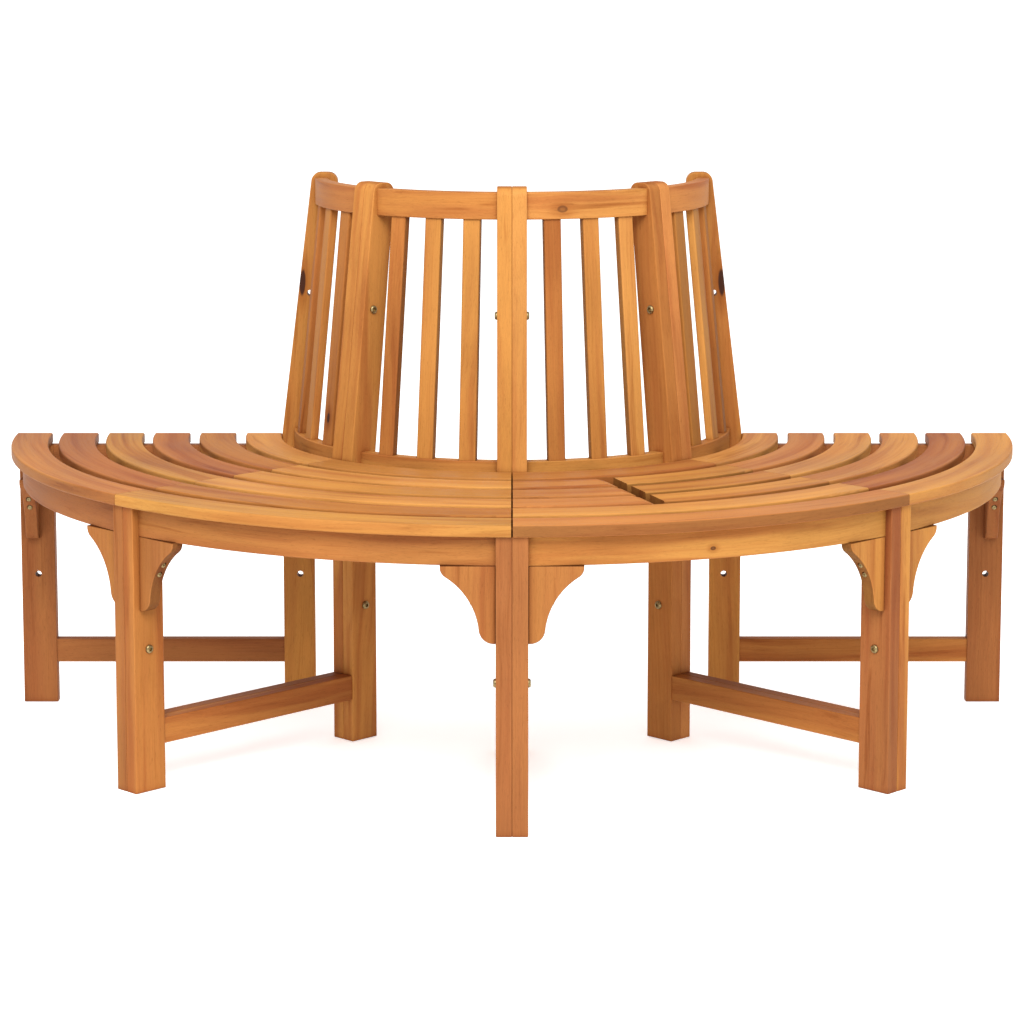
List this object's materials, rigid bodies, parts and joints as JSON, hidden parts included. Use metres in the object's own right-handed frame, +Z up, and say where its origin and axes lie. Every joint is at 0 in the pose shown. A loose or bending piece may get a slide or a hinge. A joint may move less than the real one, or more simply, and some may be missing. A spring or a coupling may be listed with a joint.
{
  "type": "tree bench",
  "caption": "Half-round slatted timber bench with a curved leaning back, open behind to stand round half a tree trunk.",
  "frame": {"origin": "on the floor, midway between the front of the seat and the plane of the open back, and midway between the two ends; the tree's axis is 400 mm behind it, at y = +0.4", "axes": "+X to the right as seen from the front, +Y back towards the tree and the open side, +Z up"},
  "size_m": [1.6, 0.8, 0.863],
  "materials": {
    "seat_wood": "oiled",
    "slat_wood": "oiled",
    "rail_wood": "oiled",
    "leg_wood": "oiled",
    "brass": "satin"
  },
  "bodies": {
    "root": {"left_wing_left_front_leg": "leg_wood", "left_wing_left_back_post": "leg_wood", "left_wing_left_seat_bearer": "rail_wood", "left_wing_left_stretcher": "rail_wood", "left_wing_right_front_leg": "leg_wood", "left_wing_right_back_post": "leg_wood", "left_wing_right_seat_bearer": "rail_wood", "left_wing_right_stretcher": "rail_wood", "left_wing_brackets": "rail_wood", "left_wing_apron": "rail_wood", "left_wing_top_rail": "rail_wood", "left_wing_bottom_rail": "rail_wood", "left_wing_back_slats": "slat_wood", "left_wing_seat_boards": "seat_wood", "left_front_left_front_leg": "leg_wood", "left_front_left_back_post": "leg_wood", "left_front_left_seat_bearer": "rail_wood", "left_front_left_stretcher": "rail_wood", "left_front_right_front_leg": "leg_wood", "left_front_right_back_post": "leg_wood", "left_front_right_seat_bearer": "rail_wood", "left_front_right_stretcher": "rail_wood", "left_front_brackets": "rail_wood", "left_front_apron": "rail_wood", "left_front_top_rail": "rail_wood", "left_front_bottom_rail": "rail_wood", "left_front_back_slats": "slat_wood", "left_front_seat_boards": "seat_wood", "right_front_left_front_leg": "leg_wood", "right_front_left_back_post": "leg_wood", "right_front_left_seat_bearer": "rail_wood", "right_front_left_stretcher": "rail_wood", "right_front_right_front_leg": "leg_wood", "right_front_right_back_post": "leg_wood", "right_front_right_seat_bearer": "rail_wood", "right_front_right_stretcher": "rail_wood", "right_front_brackets": "rail_wood", "right_front_apron": "rail_wood", "right_front_top_rail": "rail_wood", "right_front_bottom_rail": "rail_wood", "right_front_back_slats": "slat_wood", "right_front_seat_boards": "seat_wood", "right_wing_left_front_leg": "leg_wood", "right_wing_left_back_post": "leg_wood", "right_wing_left_seat_bearer": "rail_wood", "right_wing_left_stretcher": "rail_wood", "right_wing_right_front_leg": "leg_wood", "right_wing_right_back_post": "leg_wood", "right_wing_right_seat_bearer": "rail_wood", "right_wing_right_stretcher": "rail_wood", "right_wing_brackets": "rail_wood", "right_wing_apron": "rail_wood", "right_wing_top_rail": "rail_wood", "right_wing_bottom_rail": "rail_wood", "right_wing_back_slats": "slat_wood", "right_wing_seat_boards": "seat_wood", "seat_battens": "rail_wood", "frame_bolts": "brass", "sleeve_nuts": "brass", "bracket_screws": "brass"}
  },
  "joints": []
}
